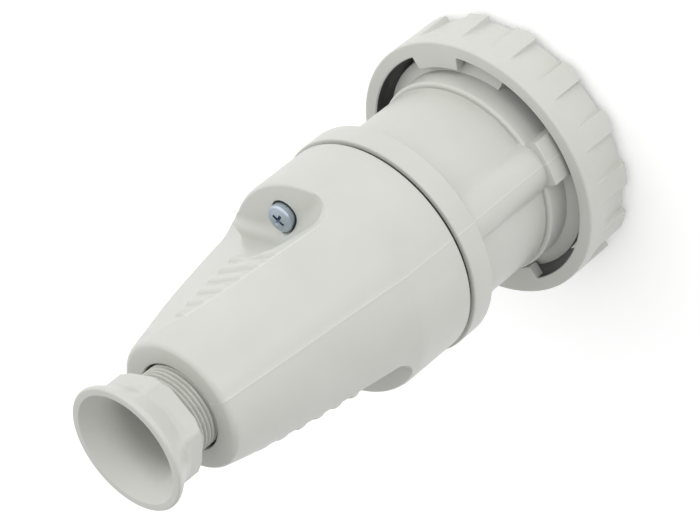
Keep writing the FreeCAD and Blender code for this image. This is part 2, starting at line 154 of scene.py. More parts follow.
def tint_ramp(material, value, dark, light, start=0.3, end=0.7):
    """Colour that goes from dark to light while the value goes from the start to the end."""
    colour = add_node(material, "ShaderNodeValToRGB", {}, {"Fac": value})
    for stop, position, code in zip(colour.color_ramp.elements, (start, end), (dark, light)):
        stop.position = position
        stop.color = linear(code)
    return colour.outputs["Color"]


def straying_gloss(material, value, roughness, spread):
    """Roughness that strays from its mean by the spread, down at the value 0 and up at the value 1."""
    limits = {"To Min": roughness - spread, "To Max": roughness + spread}
    return add_node(material, "ShaderNodeMapRange", limits, {"Value": value}).outputs["Result"]


def relief(material, value, strength, depth_mm):
    """Normals of a skin with the value as its fine relief."""
    settings = {"Strength": strength, "Distance": depth_mm * MM}
    return add_node(material, "ShaderNodeBump", settings, {"Height": value}).outputs["Normal"]


def surface(material, settings, links):
    """Ends a material with its shader."""
    shader = add_node(material, "ShaderNodeBsdfPrincipled", settings, links)
    add_node(material, "ShaderNodeOutputMaterial", {}, {"Surface": shader.outputs["BSDF"]})
    return material


def near_line(material, distance):
    """Mask of a thin line on the moulding: 1 up to the line's core, falling to 0 at its edge."""
    limits = {"From Min": line_core * MM, "From Max": line_edge * MM, "To Min": 1.0, "To Max": 0.0}
    return add_node(material, "ShaderNodeMapRange", limits, {"Value": distance}).outputs["Result"]


def parting_highlight_mask(material, place):
    """Mask of the painted highlight along the parting line: the distance is that from the plane where the
    halves of the mould met.
    """
    axes = add_node(material, "ShaderNodeSeparateXYZ", {}, {"Vector": place})
    return near_line(material, maths(material, "ABSOLUTE", axes.outputs["X"]))


def moulded_plastic(name, light, dark, roughness, lines=()):
    """Injection-moulded polyamide: a nearly even colour with a faint cloud from the melt's flow, a semi-matte
    skin whose gloss wanders a little, and the fine grain of the eroded mould, drawn coarse enough to show.
    Along the given lines another colour is painted on: a lighter grey as a painted highlight, or black as
    painted shade."""
    material, place = new_material(name)
    cloud = noise(material, place, cloud_size, 3.0)
    tint = tint_ramp(material, cloud, dark, light)
    for mask, code in lines:
        painted = add_node(material, "ShaderNodeMixRGB", {"Color2": linear(code)},
                           {"Fac": mask(material, place), "Color1": tint})
        tint = painted.outputs["Color"]
    gloss = straying_gloss(material, cloud, roughness, 0.05)
    normal = relief(material, noise(material, place, skin_grain, 2.0), 0.12, 0.08)
    return surface(material, {"IOR": 1.53}, {"Base Color": tint, "Roughness": gloss, "Normal": normal})


def apart(azimuth, middle):
    """Signed angle in degrees from a middle azimuth, from -180 to 180."""
    return (azimuth - middle + 180) % 360 - 180


def columns(step, *clusters):
    """Azimuths all round at an even step, with each cluster of close ones added and near doubles left out."""
    even = np.arange(0, 360, step)
    every = np.sort(np.concatenate([even, *[np.ravel(cluster) for cluster in clusters]]) % 360)
    nearest = 0.05
    return every[np.append(True, np.diff(every) > nearest)]


def around(middle, *offsets):
    """Azimuths on both sides of a middle one, at the offsets."""
    steps = np.array(offsets)
    return np.concatenate([middle - steps, middle + steps])


def soft_min(first, second, blend):
    """The lower of two surfaces. Where they are nearer than the blend, a parabola rounds the edge off."""
    near = np.clip(1 - np.abs(first - second) / blend, 0, 1)
    return np.minimum(first, second) - blend / 4 * near ** 2


def soft_max(first, second, blend):
    """The higher of two surfaces, with a parabola as the fillet where they meet."""
    return -soft_min(-first, -second, blend)


def soft_step(value, width):
    """Climbs from 0 to 1 while the value goes from minus to plus half the width, level at both ends."""
    share = np.clip(value / width + 0.5, 0, 1)
    return share * share * (3 - 2 * share)


def quarter_steps(count):
    """Shares of a rounding's height at even angles of its quarter circle: 1 less the angle's cosine."""
    return 1 - np.cos(np.linspace(0, np.pi / 2, count))


def round_drop(distance, rounding):
    """How far a quarter-round edge lies under its wall: the rounding less the circle's height at the distance
    from the end. A negative rounding gives a fillet that flares out."""
    size = abs(rounding)
    left = size - np.clip(distance, 0, size)
    return np.sign(rounding) * (size - np.sqrt(size ** 2 - left ** 2))


def wall_heights(low, high, low_round, high_round, step):
    """Heights of the rows of a wall: close together on its rounded ends, at most a step apart between."""
    quarter = quarter_steps(rounding_rows)
    first = low + abs(low_round)
    last = high - abs(high_round)
    middle = np.linspace(first, last, int(np.ceil((last - first) / step)) + 1)
    ends = [low + abs(low_round) * quarter, high - abs(high_round) * quarter]
    return np.unique(np.concatenate([middle, *ends]))


def wall(azimuth, low, high, low_r, high_r, low_round=0.0, high_round=0.0, step=4.0, extra=()):
    """Rows up a turned wall: a straight line between its end radii, less the drop of its rounded ends."""
    heights = np.unique(np.concatenate([wall_heights(low, high, low_round, high_round, step), extra]))
    heights = heights[:, None] + 0 * azimuth
    straight = low_r + (high_r - low_r) * (heights - low) / (high - low)
    return straight - round_drop(heights - low, low_round) - round_drop(high - heights, high_round), heights


def level(azimuth, radius, height):
    """One row at a height, with one radius or one for each azimuth."""
    return radius + 0 * azimuth[None, :], height + 0 * azimuth[None, :]


def corner_rows(azimuth, corners):
    """Rows through the (radius, height) corners of a turned outline."""
    return [level(azimuth, radius, height) for radius, height in corners]


def circle_entry(azimuth, middle, distance, radius, outside):
    """Radius at which a ray from the axis meets a round post: distance times the cosine, less the root of
    the radius squared minus the square of the distance times the sine. Rays that pass it get outside."""
    turn = np.radians(apart(azimuth, middle))
    left = radius ** 2 - (distance * np.sin(turn)) ** 2
    meets = (left > 0) & (np.cos(turn) > 0)
    return np.where(meets, distance * np.cos(turn) - np.sqrt(np.maximum(left, 0)), outside)


def straight_sided(azimuth, middle, half_width, radius, blend):
    """Radius of a block with parallel sides: half its width over the sine, up to its round face."""
    turn = np.radians(apart(azimuth, middle))
    least_sine = 0.01
    side = half_width / np.maximum(np.abs(np.sin(turn)), least_sine)
    return np.where(np.cos(turn) > 0, soft_min(side, radius, blend), 0)


def parting_ridge(azimuth, radius):
    """Thin ridge where the halves of the mould met: a bell curve across the key side and the far side."""
    ridge = 0
    for middle in (key_azimuth, key_azimuth + 180):
        across = np.radians(apart(azimuth, middle)) * radius
        ridge = ridge + parting_height * np.exp(-(across / parting_width) ** 2)
    return ridge


def housing_outside(azimuth, radius, height):
    """Adds to the turned form what stands on it: notches in the flange, key rib, stop blocks, shroud key and
    the thin parting ridge, each as a radius for the azimuth and the height."""
    for middle in (key_azimuth, key_azimuth + 180):
        from_block = apart(azimuth, middle)
        notch = soft_step(from_block, notch_step) * soft_step(notch_angle - from_block, notch_step)
        notch = notch * (height >= flange_front) * (height <= collar_foot)
        radius = radius - notch * np.maximum(radius - collar_r, 0)
    turn = np.radians(apart(azimuth, key_azimuth))
    left = np.maximum(key_rib_r ** 2 - (key_rib_axis_r * np.sin(turn)) ** 2, 0)
    rib = np.where((left > 0) & (np.cos(turn) > 0), key_rib_axis_r * np.cos(turn) + np.sqrt(left), 0)
    on_barrel = (height > collar_foot) & (height < band_front)
    radius = np.where(on_barrel, soft_max(radius, rib, key_rib_fillet), radius)
    for middle in (key_azimuth, key_azimuth + 180):
        face_r = block_r - round_drop(block_top - height, edge_round)
        face_r = face_r - round_drop(height - flange_front, block_foot_round)
        block = straight_sided(azimuth, middle, block_half_width, face_r, block_edge)
        on_block = (height >= flange_front) & (height <= block_top)
        radius = np.where(on_block, np.maximum(radius, block), radius)
    face_r = shroud_key_r - round_drop(height - shroud_key_foot, edge_round)
    key = straight_sided(azimuth, key_azimuth, shroud_key_half_width, face_r, block_edge)
    on_key = (height >= shroud_key_foot) & (height < flange_front)
    radius = np.where(on_key, np.maximum(radius, key), radius)
    return radius + parting_ridge(azimuth, radius) * (height > flange_front)


def shell_points(azimuth, rows, place=(0.0, 0.0)):
    """Points of a shell in millimetres: radius times the cosine and the sine of the azimuth, and the height.
    A row may bring its own azimuths as its third item."""
    radius = np.vstack([row[0] for row in rows])
    height = np.vstack([row[1] for row in rows])
    turn = np.radians(np.vstack([row[2] if len(row) > 2 else azimuth + 0 * row[0] for row in rows]))
    return np.stack([place[0] + radius * np.cos(turn), place[1] + radius * np.sin(turn), height], axis=-1)


def shell_faces(shape, start, closed):
    """Corner numbers of a grid's quads: along the row, up to the next and back, so that they face out."""
    rows, cols = shape
    row = np.arange(rows if closed else rows - 1)[:, None]
    col = np.arange(cols)[None, :]
    above = (row + 1) % rows
    ahead = (col + 1) % cols
    corners = [row * cols + col, row * cols + ahead, above * cols + ahead, above * cols + col]
    return start + np.stack(corners, axis=-1).reshape(-1, 4)


def shade(mesh):
    """Shades a mesh smooth, apart from edges over the sharp angle."""
    mesh.polygons.foreach_set("use_smooth", np.ones(len(mesh.polygons), bool))
    mesh.set_sharp_from_angle(angle=np.radians(sharp_angle))


def shell_mesh(name, shells):
    """Mesh of one or more shells, each a grid of points and whether its last row joins its first. Points that
    fall together are merged."""
    points = np.concatenate([grid.reshape(-1, 3) for grid, closed in shells])
    starts = np.cumsum([0] + [grid.shape[0] * grid.shape[1] for grid, closed in shells])
    faces = [shell_faces(grid.shape[:2], start, closed) for (grid, closed), start in zip(shells, starts)]
    mesh = bpy.data.meshes.new(name)
    mesh.from_pydata((points * MM).tolist(), [], np.concatenate(faces).tolist())
    merge_distance = 0.002 * MM
    work = bmesh.new()
    work.from_mesh(mesh)
    bmesh.ops.remove_doubles(work, verts=work.verts, dist=merge_distance)
    work.to_mesh(mesh)
    work.free()
    shade(mesh)
    return mesh


def post_shell(place, path):
    """Round post or socket on its own upright axis, from (radius, height) corners that end on it."""
    azimuth = columns(post_step)
    return shell_points(azimuth, corner_rows(azimuth, path), place), False


def add_piece(name, mesh, material, body, node):
    """Puts a finished mesh in the scene in place of its CAD piece, on that piece's body."""
    piece = bpy.data.objects.new(name, mesh)
    bpy.context.scene.collection.objects.link(piece)
    mesh.materials.clear()
    mesh.materials.append(material)
    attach(piece, body)
    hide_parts(node)


# The parting line is painted lighter, as a painted highlight along its ridge.
housing_plastic = moulded_plastic("moulded_grey_polyamide", *grey_skin, [(parting_highlight_mask, painted_highlight_grey)])
key_columns = [0.12, 0.25, 0.4, 0.65, 6.3, 6.6, 6.8, 7.15, 7.4, 10.5, 10.8, 11.2, 11.6, 12.3, 12.6]
every_degree = np.arange(0, 20, 1.0)
key_sides = [around(middle, *every_degree, *key_columns) for middle in (key_azimuth, key_azimuth + 180)]
notch_columns = [0, 0.1, 0.2, 0.3, 0.6]
notch_sides = [around(key_azimuth + notch_angle + half_turn, *notch_columns) for half_turn in (0, 180)]
pad_sides = [around(middle, *every_degree) for middle in (0, 180)]
housing_azimuth = columns(housing_step, *key_sides, *notch_sides, *pad_sides)
block_rows = block_top - edge_round * quarter_steps(rounding_rows)
key_rows = shroud_key_foot + edge_round * quarter_steps(rounding_rows)
just_past = 0.001
outside = [
    wall(housing_azimuth, 0, flange_front, shroud_r, shroud_r, edge_round, 0,
         extra=[*key_rows, shroud_key_foot - just_past]),
    wall(housing_azimuth, flange_front, cone_foot, flange_r, flange_r, edge_round, flange_edge),
    wall(housing_azimuth, cone_foot, collar_foot, flange_r - flange_edge, collar_r),
    wall(housing_azimuth, collar_foot, collar_top, collar_r, collar_r, 0, collar_round,
         extra=[collar_foot + just_past, *block_rows, block_top + just_past]),
    wall(housing_azimuth, collar_top, barrel_foot, groove_r, groove_r),
    wall(housing_azimuth, barrel_foot, band_front, barrel_r, barrel_r, barrel_foot_round, -band_fillet,
         extra=[band_front - just_past]),
    wall(housing_azimuth, band_front, band_rear, band_r, band_r, edge_round, edge_round),
]
outside = [(housing_outside(housing_azimuth, radius, height), height) for radius, height in outside]
ledge_r = ledge_inner_r
for side in (0, 180):
    pad = circle_entry(housing_azimuth, side, screw_distance, ledge_pad_r, ledge_inner_r)
    ledge_r = soft_min(ledge_r, pad, ledge_pad_blend)
inside = corner_rows(housing_azimuth, [
    (band_inner_r, band_rear), (band_inner_r, band_floor), (carrier_bore_r, band_floor),
    (carrier_bore_r, ledge_rear), (ledge_r, ledge_rear), (ledge_r, shroud_depth),
    (shroud_inner_r, shroud_depth), (shroud_inner_r, edge_round), (shroud_inner_r + edge_round, 0),
])
boss_path = [(0, ledge_rear), (screw_boss_r, ledge_rear), (screw_boss_r, band_rear),
             (insert_hole_r, band_rear), (insert_hole_r, insert_foot), (screw_hole_r, insert_foot),
             (screw_hole_r, screw_hole_foot), (0, screw_hole_foot)]
housing_shells = [(shell_points(housing_azimuth, outside + inside), True)]
housing_shells += [post_shell((side * screw_distance, 0), boss_path) for side in (1, -1)]
add_piece("front_housing_moulding", shell_mesh("front_housing_moulding", housing_shells), housing_plastic,
          "body", "front_housing")

# Contact carrier: a dark grey polyamide disc, moulded with a sleeve round each terminal. It lies on a black
# rubber gasket on the housing's ledge, with two zinc-plated screws through both.
dark_grey = "46474A"
dark_shade = "404144"
carrier_roughness = 0.5
bloom_size = 3.0


def seal_rubber_material(name):
    """Moulded black rubber: nearly black and dull, patchy from a faint bloom, with a soft grain."""
    material, place = new_material(name)
    bloom = noise(material, place, bloom_size, 4.0)
    tint = tint_ramp(material, bloom, "161616", "2A2A29", 0.0, 1.0)
    normal = relief(material, bloom, 0.2, 0.05)
    return surface(material, {"IOR": 1.52, "Roughness": 0.62}, {"Base Color": tint, "Normal": normal})


def turned_metal(name, light, dark, roughness, mark_mm):
    """Metal turned on a lathe: fine rings along the axis in colour and relief, drawn wide enough to show."""
    material, place = new_material(name)
    rings = add_node(material, "ShaderNodeMapping", {"Scale": (0.05, 0.05, 1.0)}, {"Vector": place})
    marks = noise(material, rings.outputs["Vector"], mark_mm, 4.0)
    tint = tint_ramp(material, marks, dark, light)
    gloss = straying_gloss(material, marks, roughness, 0.08)
    normal = relief(material, marks, 0.15, 0.05)
    return surface(material, {"Metallic": 1.0}, {"Base Color": tint, "Roughness": gloss, "Normal": normal})


def dress(node, material):
    """Gives a CAD piece its material."""
    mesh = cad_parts[node].data
    mesh.materials.clear()
    mesh.materials.append(material)


carrier_plastic = moulded_plastic("moulded_dark_polyamide", dark_grey, dark_shade, carrier_roughness)
seal_rubber = seal_rubber_material("moulded_black_rubber")
zinc_steel = turned_metal("blue_zinc_plated_steel", "C3CCD6", "A9B6C4", 0.3, 1.2)
dress("contact_carrier", carrier_plastic)
dress("carrier_gasket", seal_rubber)
dress("carrier_screws", zinc_steel)

# Contact pins: five turned brass pins pressed into the carrier, the earth pin thicker than the others. Each
# has a bored head behind the carrier with a zinc-plated clamping screw and a pad that press the wire.
pin_brass = turned_metal("turned_brass", "D9B866", "C4A050", 0.28, 0.6)
for pin in ("pin_earth", "pin_neutral", "pin_l1", "pin_l2", "pin_l3"):
    dress(pin, pin_brass)
dress("terminal_screws", zinc_steel)
dress("pressure_pads", zinc_steel)

# Coupling ring: a loose hoop of the same polyamide that turns on the flange. Fifteen grip valleys are sunk in
# its outside, two lugs at its rear edge hold it behind the flange, and two ramps inside draw the plug home.
# Between them its inner wall is painted black, as painted shade, from just under its rear edge.
ring_low, ring_high = np.array(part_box("coupling_ring")) / MM
ring_outer_r = ring_high[0]
ring_front = ring_low[2]
ring_rear = ring_high[2]
ring_inner_r = 41.0
ring_round = 0.7
ring_edge = 0.3
grip_count = 15
grip_azimuth = -53.0
grip_valley_angle = 14.0
grip_valley_depth = 2.2
grip_top = ring_rear - 5.5
grip_side_angle = 0.7
grip_floor_curve = 0.7
lug_azimuth = -10.2
lug_angle = 26.5
lug_height = 4.6
lug_front = ring_rear - 3.3
ramp_angle = 95.0
ramp_height = 2.2
ramp_low = ring_front + 1.0
ramp_high = ramp_low + 3.2
ramp_stop_angle = 9.0
ramp_stop_high = 11.6
step_angle = 0.5
# The ring's inner wall is painted black below here, as painted shade.
shade_band_top = ring_rear - ring_round
painted_shade_black = "2E2E2D"
ring_step = 3.0
hoop_row_step = 3.0
valley_row_count = 13


def valley_depth(azimuth, height):
    """Depth of the grip valleys: full at the front, and a power of the share of the length that is left on
    the way to the rear band, within half the valley's angle of each middle, with soft steps beside."""
    pitch = 360 / grip_count
    from_middle = np.abs((azimuth - grip_azimuth + pitch / 2) % pitch - pitch / 2)
    across = soft_step(grip_valley_angle / 2 - from_middle, grip_side_angle)
    along = np.clip((grip_top - height) / (grip_top - ring_front), 0, 1)
    return grip_valley_depth * across * along ** grip_floor_curve


def sector(azimuth, middle, angle):
    """1 inside a sector and its copy across the axis, 0 outside, with soft steps between."""
    from_middle = np.minimum(np.abs(apart(azimuth, middle)), np.abs(apart(azimuth, middle + 180)))
    return soft_step(angle / 2 - from_middle, step_angle)


def length_of(material, vector):
    """Length of a vector."""
    measured = add_node(material, "ShaderNodeVectorMath", {"operation": "LENGTH"}, {0: vector})
    return measured.outputs["Value"]


def from_axis(material, place):
    """Distance of a place from the plug's axis: the length that is left without its height."""
    settings = {"operation": "MULTIPLY", 1: (1.0, 1.0, 0.0)}
    across = add_node(material, "ShaderNodeVectorMath", settings, {0: place})
    return length_of(material, across.outputs["Vector"])


def shade_band_mask(material, place):
    """Mask of the black painted shade on the ring's inner wall: the distance is that of the radius from the
    wall, plus that of the height above the shade's upper edge."""
    height = add_node(material, "ShaderNodeSeparateXYZ", {}, {"Vector": place}).outputs["Z"]
    gap = maths(material, "SUBTRACT", from_axis(material, place), ring_inner_r * MM)
    rise = maths(material, "SUBTRACT", height, shade_band_top * MM)
    above = maths(material, "MAXIMUM", rise, 0.0)
    return near_line(material, maths(material, "ADD", maths(material, "ABSOLUTE", gap), above))


valley_edges = grip_azimuth + np.arange(grip_count) * 360 / grip_count
valley_edges = np.concatenate([valley_edges - grip_valley_angle / 2, valley_edges + grip_valley_angle / 2])
edge_shares = [-0.75, -0.5, -0.36, -0.24, -0.12, 0, 0.12, 0.24, 0.36, 0.5, 0.75]
ramp_middle = lug_azimuth + 90
stop_middle = ramp_middle + (ramp_angle - ramp_stop_angle) / 2
step_edges = np.array([lug_azimuth - lug_angle / 2, lug_azimuth + lug_angle / 2, ramp_middle - ramp_angle / 2,
                       ramp_middle + ramp_angle / 2, ramp_middle + ramp_angle / 2 - ramp_stop_angle])
step_spread = step_angle * np.array([-0.6, -0.4, -0.2, 0, 0.2, 0.4, 0.6])
ring_azimuth = columns(ring_step, np.add.outer(valley_edges, grip_side_angle * np.array(edge_shares)),
                       np.add.outer(step_edges, step_spread), np.add.outer(step_edges + 180, step_spread))
valley_rows = grip_top - (grip_top - ring_front) * np.linspace(0, 0.9, valley_row_count) ** 2
hoop_r, hoop_z = wall(ring_azimuth, ring_front, ring_rear, ring_outer_r, ring_outer_r, ring_round, ring_round,
                      hoop_row_step, valley_rows)
hoop = (hoop_r - valley_depth(ring_azimuth, hoop_z), hoop_z)
lugs = ring_inner_r - lug_height * sector(ring_azimuth, lug_azimuth, lug_angle)
stops = ring_inner_r - ramp_height * sector(ring_azimuth, stop_middle, ramp_stop_angle)
ramps = ring_inner_r - ramp_height * sector(ring_azimuth, ramp_middle, ramp_angle)
ring_inside = corner_rows(ring_azimuth, [
    (lugs + ring_edge, ring_rear), (lugs, ring_rear - ring_edge), (lugs, lug_front + ring_edge),
    (np.minimum(lugs + ring_edge, ring_inner_r), lug_front), (ring_inner_r, lug_front),
    (ring_inner_r, ramp_stop_high), (stops, ramp_stop_high), (stops, ramp_high),
    (np.minimum(stops, ramps), ramp_high), (np.minimum(stops, ramps), ramp_low), (ring_inner_r, ramp_low),
    (ring_inner_r, ring_front + ring_edge), (ring_inner_r + ring_edge, ring_front),
])
ring_shell = (shell_points(ring_azimuth, [hoop] + ring_inside), True)
# The ring's inner wall is painted black, as painted shade.
ring_plastic = moulded_plastic("moulded_grey_polyamide_ring", *grey_skin, [(shade_band_mask, painted_shade_black)])
add_piece("coupling_ring_moulding", shell_mesh("coupling_ring_moulding", [ring_shell]), ring_plastic, "ring",
          "coupling_ring")

# Brass inserts in the housing's screw bosses, and the rubber gasket between the housing's band and the hood.
# The inserts were moulded in, and the gasket is squeezed as the screws pull the hood down.
dress("housing_inserts", pin_brass)
dress("hood_gasket", seal_rubber)

# Cable hood: a hollow cone of the same polyamide. On both sides it is cut back to a ribbed flat above a screw
# shelf, with a scoop behind the screw for the screwdriver. A sleeve inside its small end takes the gland.
hood_low, hood_high = np.array(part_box("hood")) / MM
hood_r = hood_high[0]
hood_end = hood_high[2]
spigot_foot = hood_low[2]
hood_base = 70.5
hood_shoulder = 92.5
hood_end_r = 21.8
hood_nose_round = 1.6
hood_wall = 3.2
shelf = 94.5
shelf_round = 0.8
lip_blend = 1.0
flat_distance = 25.4
flat_lean = np.tan(np.radians(2.3))
flat_fillet = 8.0
scoop_r = 30.0
scoop_tilt = np.radians(14.6)
scoop_middle = 49.6
scoop_shift = -5.0
scoop_far_width = 46.0
scoop_far_draw = 1.1
scoop_fillet = 8.0
scoop_far_fillet = 5.0
far_fillet_bearing = 0.2
far_fillet_spread = 0.7
scoop_edge = 0.6
pocket_edge = 0.3
rib_count = 6
rib_first = 22.0
rib_pitch = 5.9
rib_r = 1.9
rib_height = 1.1
rib_foot_round = 0.2
rib_end_first = 2.7
rib_end_step = 1.3
rib_run_out = 1.8
mouth_r = 14.8
mouth_edge = 0.3
mouth_foot = hood_end - 6.0
thread_bore_r = 14.45
sleeve_r = 17.15
seal_seat = 131.2
seal_opening_r = 10.5
sleeve_foot = 128.2
spigot_r = 34.8
spigot_inner_r = 33.1
counterbore_r = 5.3
counterbore_floor = 93.1
drill_foot = hood_base - 1.0
drill_top = shelf + 3.1
edge_line_top = shelf + 53.0
hood_row_step = 1.2
hollow_row_step = 3.0
fillet_row_count = 22
hollow_fillet_count = 10
rib_row_step = 0.3
rib_lead = 3.0
least_cosine = 0.05
scoop_column = 20.0
edge_column = 45.0
search_angle = 60.0
search_count = 1201
least_edge = 4.0
nose_edge = 40.0
nose_rise = 60.0
nose_blend = 4.0
least_scoop_share = 0.3
most_scoop_share = 0.94
hood_slope = (hood_r - hood_end_r) / (hood_end - hood_shoulder)


def hood_form(height):
    """Radius of the hood's turned form: level up to the shoulder, then falling by the slope."""
    return hood_r - hood_slope * np.maximum(height - hood_shoulder, 0)


def grip_ribs(across, rise, edge):
    """How far the ribs stand off the flat: bars of the rib's radius on the key side, each with a ball at its
    inner end, sunk so that only the rib height shows. The inner ends step back from rib to rib, and the
    outer ends run out at the flat's edge."""
    number = np.clip(np.round((rise - rib_first) / rib_pitch), 0, rib_count - 1)
    from_rib = rise - rib_first - number * rib_pitch
    past_end = np.maximum(across - rib_end_first + number * rib_end_step, 0)
    bar = np.sqrt(np.maximum(rib_r ** 2 - from_rib ** 2 - past_end ** 2, 0))
    run_out = soft_step(across + edge - rib_run_out / 2, rib_run_out)
    return soft_max(bar - rib_r + rib_height, 0 * bar, rib_foot_round) * run_out


def flat_entry(azimuth, height, grow, ribs):
    """Radius at which a ray from the axis meets a leaning flat: its distance at the height, with the fillet
    at the shelf and the ribs, over the cosine of the azimuth. grow sets it back, for the inner wall."""
    turn = np.radians(azimuth)
    cosine = np.maximum(np.abs(np.cos(turn)), least_cosine)
    rise = height - shelf + grow
    flat = flat_distance - grow - flat_lean * rise + round_drop(rise, flat_fillet + grow)
    if ribs:
        edge = np.sqrt(np.maximum(hood_form(height) ** 2 - flat ** 2, 0))
        flat = flat + grip_ribs(flat / cosine * np.sin(turn), rise, edge)
    return flat / cosine


def scoop_entry(azimuth, height, grow):
    """Radius at which a ray from the axis meets the tilted scoop, an ellipse at each height that narrows at
    its foot: the smaller root of the square equation along the ray, or far out where the ray misses it. Past
    its deepest place, away from the key, it is wider, draws in with the height and has a smaller fillet."""
    turn = np.radians(azimuth)
    cosine = np.maximum(np.abs(np.cos(turn)), least_cosine)
    sine = np.sin(turn)
    rise = height - shelf + grow
    bearing = np.arctan2(sine, cosine)
    far_share = soft_step(bearing - far_fillet_bearing, far_fillet_spread)
    fillet = scoop_fillet + (scoop_far_fillet - scoop_fillet) * far_share
    foot = round_drop(rise, fillet + grow)
    half_depth = scoop_r / np.cos(scoop_tilt) + grow - foot
    middle = scoop_middle + rise * np.tan(scoop_tilt)
    far_side = bearing > np.arctan2(scoop_shift, middle - half_depth)
    far_width = scoop_far_width - scoop_far_draw * np.maximum(rise, 0)
    half_width = np.where(far_side, far_width, scoop_r) + grow - foot
    square = (cosine / half_depth) ** 2 + (sine / half_width) ** 2
    linear_part = middle * cosine / half_depth ** 2 + scoop_shift * sine / half_width ** 2
    left = linear_part ** 2 - square * ((middle / half_depth) ** 2 + (scoop_shift / half_width) ** 2 - 1)
    return np.where(left > 0, (linear_part - np.sqrt(np.maximum(left, 0))) / square, 2 * hood_r)


def pocket(azimuth, height, grow, ribs):
    """Radius at which a ray comes out in a screw pocket: the lower of the flat and the scoop."""
    return soft_min(flat_entry(azimuth, height, grow, ribs), scoop_entry(azimuth, height, grow), scoop_edge)


def flat_edge_highlight_mask(material, place):
    """Mask of the painted highlight along the two flats' edges on the cone: the distance is the length of
    three gaps, that of the place's x from the leaning flat, that of its radius from the cone and that of its
    height below the top of its fillet or past the last rib."""
    axes = add_node(material, "ShaderNodeSeparateXYZ", {}, {"Vector": place})
    height = axes.outputs["Z"]
    across = maths(material, "ABSOLUTE", axes.outputs["X"])
    from_flat = maths(material, "MULTIPLY_ADD", height, flat_lean, across)
    from_cone = maths(material, "MULTIPLY_ADD", height, hood_slope, from_axis(material, place))
    below = maths(material, "SUBTRACT", (shelf + flat_fillet) * MM, height)
    past = maths(material, "SUBTRACT", height, edge_line_top * MM)
    gaps = {
        "X": maths(material, "SUBTRACT", from_flat, (flat_distance + flat_lean * shelf) * MM),
        "Y": maths(material, "SUBTRACT", from_cone, (hood_r + hood_slope * hood_shoulder) * MM),
        "Z": maths(material, "MAXIMUM", maths(material, "MAXIMUM", below, 0.0), past),
    }
    every = add_node(material, "ShaderNodeCombineXYZ", {}, gaps)
    return near_line(material, length_of(material, every.outputs["Vector"]))


def hood_turns(heights, column, side):
    """Azimuths of the hood's columns at each height. From the middle of a pocket outwards, the columns up to
    the scoop's spread evenly over the scoop, those up to the edge's over the flat as far as its edge on the
    cone, and those up to 90 over the rest. Negative columns lie on the key side. side picks the pocket."""
    fine = np.linspace(0, search_angle, search_count)
    above = np.maximum(heights, shelf)[:, None]
    nose = least_edge + (nose_edge - least_edge) * np.clip((above - shelf - nose_rise) / nose_blend, 0, 1)
    turn = 0
    for hand in (-1, 1):
        flat = flat_entry(hand * fine, above, 0, True)
        scoop = scoop_entry(hand * fine, above, 0)
        edge = fine[np.argmax(np.minimum(flat, scoop) >= hood_form(above), axis=1)][:, None]
        edge = np.maximum(edge, nose)
        inner = np.where(scoop < flat, fine, 0).max(axis=1, keepdims=True)
        inner = np.clip(inner, least_scoop_share * edge, most_scoop_share * edge)
        place = np.maximum(hand * column, 0)
        over_scoop = np.minimum(place / scoop_column, 1) * inner
        over_flat = np.clip((place - scoop_column) / (edge_column - scoop_column), 0, 1) * (edge - inner)
        over_cone = np.maximum(place - edge_column, 0) / (90 - edge_column) * (90 - edge)
        turn = turn + hand * (over_scoop + over_flat + over_cone)
    return np.where(side > 0, turn, 180 - turn)


def carve(mesh, cutter):
    """Takes a cutter's volume out of a mesh with an exact Boolean, and gives the result as a new mesh."""
    target = bpy.data.objects.new("carve_target", mesh)
    tool = bpy.data.objects.new("carve_tool", cutter)
    for item in (target, tool):
        bpy.context.scene.collection.objects.link(item)
    cut = target.modifiers.new("cut", "BOOLEAN")
    cut.operation = "DIFFERENCE"
    cut.solver = "EXACT"
    cut.object = tool
    bpy.context.view_layer.update()
    result = bpy.data.meshes.new_from_object(target.evaluated_get(bpy.context.evaluated_depsgraph_get()))
    for item in (target, tool):
        bpy.data.objects.remove(item)
    return result


near_edge = np.array([-0.7, -0.35, -0.15, 0, 0.15, 0.35, 0.7])
parting_columns = [89.6, 89.75, 89.85, 89.93, 90]
half_columns = np.concatenate([np.arange(0, 45, 1.2), np.arange(48, 90, 3.0), scoop_column + near_edge,
                               edge_column + near_edge, parting_columns])
half_columns = np.unique(np.round(half_columns, 3))
hood_columns = np.concatenate([-half_columns[:0:-1], half_columns])
pocket_side = np.concatenate([np.ones(len(hood_columns)), -np.ones(len(hood_columns) - 2)])
hood_columns = np.concatenate([hood_columns, hood_columns[-2:0:-1]])
hood_azimuth = hood_turns(np.array([hood_end]), hood_columns, pocket_side)[0]
shelf_azimuth = hood_turns(np.array([shelf]), hood_columns, pocket_side)[0]
skirt = wall(shelf_azimuth, hood_base, hood_shoulder, hood_r, hood_r, edge_round, 0)
pocket_reach = hood_form(shelf) - pocket(shelf_azimuth, shelf + 0 * shelf_azimuth, 0, False)
in_pocket = soft_step(pocket_reach, lip_blend)
lip_r, lip_z = wall(shelf_azimuth, hood_shoulder, shelf, hood_r, hood_form(shelf), 0, shelf_round)
plain_lip = hood_form(lip_z)
lip_r = plain_lip + (lip_r - plain_lip) * in_pocket
fillet_rows = shelf + scoop_fillet * quarter_steps(fillet_row_count)
rib_foot = shelf + rib_first
rib_rows = np.arange(rib_foot - rib_lead, rib_foot + rib_count * rib_pitch, rib_row_step)
upper_z = wall(hood_azimuth, shelf, hood_end, hood_form(shelf), hood_end_r, 0, hood_nose_round,
               hood_row_step, [*fillet_rows, *rib_rows])[1]
upper_turn = hood_turns(upper_z[:, 0], hood_columns, pocket_side)
upper_r = soft_min(hood_form(upper_z), pocket(upper_turn, upper_z, 0, True), pocket_edge)
upper_r = upper_r - round_drop(hood_end - upper_z, hood_nose_round)
